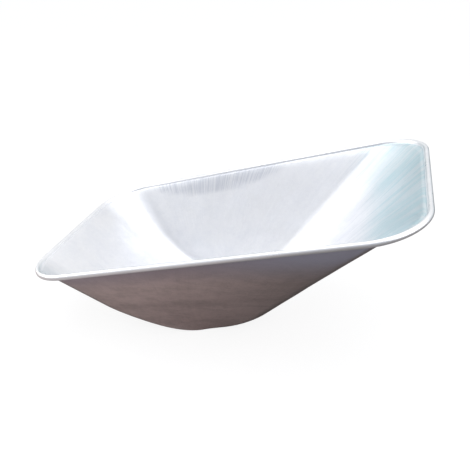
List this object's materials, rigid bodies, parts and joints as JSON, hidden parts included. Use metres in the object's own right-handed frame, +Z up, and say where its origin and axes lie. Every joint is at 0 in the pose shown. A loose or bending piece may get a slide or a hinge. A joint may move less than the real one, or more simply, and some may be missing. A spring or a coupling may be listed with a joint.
{
  "type": "wheelbarrow tray",
  "caption": "Deep-drawn galvanised steel wheelbarrow tray with sloping ends and sides, a rim rolled over a steel wire, and bolt holes in its flat floor.",
  "frame": {"origin": "on the underside of the flat floor, midway along and across the rim", "axes": "+X to the front, the tipping end, which stands higher; +Y to the left side; +Z up, square to the flat floor"},
  "size_m": [0.9134, 0.593, 0.4267],
  "materials": {
    "galvanised_sheet": "bright galvanised zinc with faint spangle, draw marks and a slightly duller outside",
    "galvanised_wire": "zinc-coated drawn wire"
  },
  "bodies": {
    "root": {"tray": "galvanised_sheet", "rim_wire": "galvanised_wire"}
  },
  "joints": []
}
